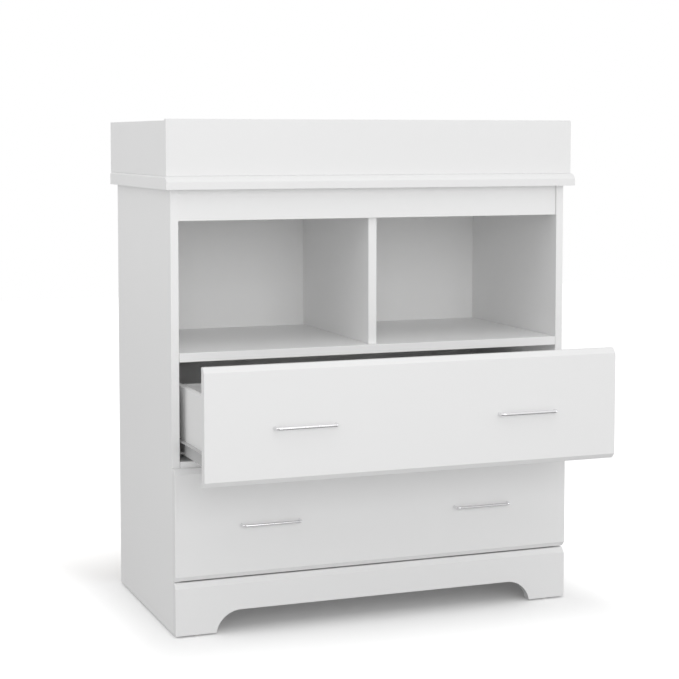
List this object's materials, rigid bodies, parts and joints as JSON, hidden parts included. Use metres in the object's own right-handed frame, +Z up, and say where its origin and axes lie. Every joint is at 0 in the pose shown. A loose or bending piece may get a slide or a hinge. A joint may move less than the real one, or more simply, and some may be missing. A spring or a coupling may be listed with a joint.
{
  "type": "changing table",
  "caption": "White changing table: walled tray on a moulded top, open cubbies and full-width roller-runner drawers with bar pulls over an arched base.",
  "frame": {"origin": "on the floor, under the middle of the object's box with the upper drawer standing open", "axes": "+Z up, +X to the user's right when facing the drawers, drawers open towards -Y"},
  "size_m": [0.8886, 0.6945, 1.02],
  "materials": {
    "painted_board": "satin white paint on fibreboard",
    "white_carcass_board": "white foil on particle board",
    "drawer_board": "white foil on particle board",
    "white_hardboard": "white-faced hardboard",
    "raw_wood": "plain beech",
    "glide_plastic": "moulded, matt",
    "runner_enamel": "white baked enamel on steel",
    "nylon": "moulded nylon",
    "polished_chrome": "polished chrome plate",
    "cast_zinc": "die-cast zinc, dull",
    "zinc_plated_steel": "zinc plated"
  },
  "bodies": {
    "cabinet": {"left_side_panel": "painted_board", "right_side_panel": "painted_board", "top_panel": "painted_board", "tray_front_wall": "painted_board", "tray_back_wall": "painted_board", "tray_left_wall": "painted_board", "tray_right_wall": "painted_board", "top_front_rail": "painted_board", "top_back_rail": "white_carcass_board", "cubby_divider": "painted_board", "cubby_shelf": "painted_board", "middle_rail": "painted_board", "bottom_panel": "white_carcass_board", "base_apron": "painted_board", "base_back_rail": "white_carcass_board", "back_panel": "white_hardboard", "corner_blocks": "raw_wood", "floor_glides": "glide_plastic", "cam_locks": "cast_zinc", "cam_bolts": "zinc_plated_steel", "dowels": "raw_wood", "back_panel_nails": "zinc_plated_steel", "tray_screws": "zinc_plated_steel", "block_screws": "zinc_plated_steel", "runner_fixings": "zinc_plated_steel", "upper_left_cabinet_runner": "runner_enamel", "upper_right_cabinet_runner": "runner_enamel", "lower_left_cabinet_runner": "runner_enamel", "lower_right_cabinet_runner": "runner_enamel"},
    "upper_drawer": {"upper_drawer_front": "painted_board", "upper_drawer_left_side": "drawer_board", "upper_drawer_right_side": "drawer_board", "upper_drawer_back": "drawer_board", "upper_drawer_bottom": "white_hardboard", "upper_drawer_left_runner": "runner_enamel", "upper_drawer_right_runner": "runner_enamel", "upper_left_pull": "polished_chrome", "upper_right_pull": "polished_chrome", "upper_drawer_fixings": "zinc_plated_steel", "upper_drawer_dowels": "raw_wood"},
    "lower_drawer": {"lower_drawer_front": "painted_board", "lower_drawer_left_side": "drawer_board", "lower_drawer_right_side": "drawer_board", "lower_drawer_back": "drawer_board", "lower_drawer_bottom": "white_hardboard", "lower_drawer_left_runner": "runner_enamel", "lower_drawer_right_runner": "runner_enamel", "lower_left_pull": "polished_chrome", "lower_right_pull": "polished_chrome", "lower_drawer_fixings": "zinc_plated_steel", "lower_drawer_dowels": "raw_wood"},
    "upper_left_front_roller": {"upper_left_front_roller": "nylon"},
    "upper_left_rear_roller": {"upper_left_rear_roller": "nylon"},
    "upper_right_front_roller": {"upper_right_front_roller": "nylon"},
    "upper_right_rear_roller": {"upper_right_rear_roller": "nylon"},
    "lower_left_front_roller": {"lower_left_front_roller": "nylon"},
    "lower_left_rear_roller": {"lower_left_rear_roller": "nylon"},
    "lower_right_front_roller": {"lower_right_front_roller": "nylon"},
    "lower_right_rear_roller": {"lower_right_rear_roller": "nylon"}
  },
  "joints": [
    {"name": "upper_drawer_slide", "type": "slide", "parent": "cabinet", "child": "upper_drawer", "axis": [0, -1, 0], "range_m": [-0.207, 0.093]},
    {"name": "lower_drawer_slide", "type": "slide", "parent": "cabinet", "child": "lower_drawer", "axis": [0, -1, 0], "range_m": [0, 0.3]},
    {"name": "upper_left_front_roller_spin", "type": "hinge", "parent": "cabinet", "child": "upper_left_front_roller", "pos_m": [-0.4083, -0.06225, 0.3755], "axis": [1, 0, 0], "continuous": true},
    {"name": "upper_left_rear_roller_spin", "type": "hinge", "parent": "upper_drawer", "child": "upper_left_rear_roller", "pos_m": [-0.4072, 0.07525, 0.374], "axis": [1, 0, 0], "continuous": true},
    {"name": "upper_right_front_roller_spin", "type": "hinge", "parent": "cabinet", "child": "upper_right_front_roller", "pos_m": [0.4083, -0.06225, 0.3755], "axis": [1, 0, 0], "continuous": true},
    {"name": "upper_right_rear_roller_spin", "type": "hinge", "parent": "upper_drawer", "child": "upper_right_rear_roller", "pos_m": [0.4072, 0.07525, 0.374], "axis": [1, 0, 0], "continuous": true},
    {"name": "lower_left_front_roller_spin", "type": "hinge", "parent": "cabinet", "child": "lower_left_front_roller", "pos_m": [-0.4083, -0.06225, 0.1485], "axis": [1, 0, 0], "continuous": true},
    {"name": "lower_left_rear_roller_spin", "type": "hinge", "parent": "lower_drawer", "child": "lower_left_rear_roller", "pos_m": [-0.4072, 0.28225, 0.147], "axis": [1, 0, 0], "continuous": true},
    {"name": "lower_right_front_roller_spin", "type": "hinge", "parent": "cabinet", "child": "lower_right_front_roller", "pos_m": [0.4083, -0.06225, 0.1485], "axis": [1, 0, 0], "continuous": true},
    {"name": "lower_right_rear_roller_spin", "type": "hinge", "parent": "lower_drawer", "child": "lower_right_rear_roller", "pos_m": [0.4072, 0.28225, 0.147], "axis": [1, 0, 0], "continuous": true}
  ],
  "couplings": [
    {"joint": "upper_left_front_roller_spin", "follows": "upper_drawer_slide", "rad_per_m": 100},
    {"joint": "upper_left_rear_roller_spin", "follows": "upper_drawer_slide", "rad_per_m": 111.11},
    {"joint": "upper_right_front_roller_spin", "follows": "upper_drawer_slide", "rad_per_m": 100},
    {"joint": "upper_right_rear_roller_spin", "follows": "upper_drawer_slide", "rad_per_m": 111.11},
    {"joint": "lower_left_front_roller_spin", "follows": "lower_drawer_slide", "rad_per_m": 100},
    {"joint": "lower_left_rear_roller_spin", "follows": "lower_drawer_slide", "rad_per_m": 111.11},
    {"joint": "lower_right_front_roller_spin", "follows": "lower_drawer_slide", "rad_per_m": 100},
    {"joint": "lower_right_rear_roller_spin", "follows": "lower_drawer_slide", "rad_per_m": 111.11}
  ]
}
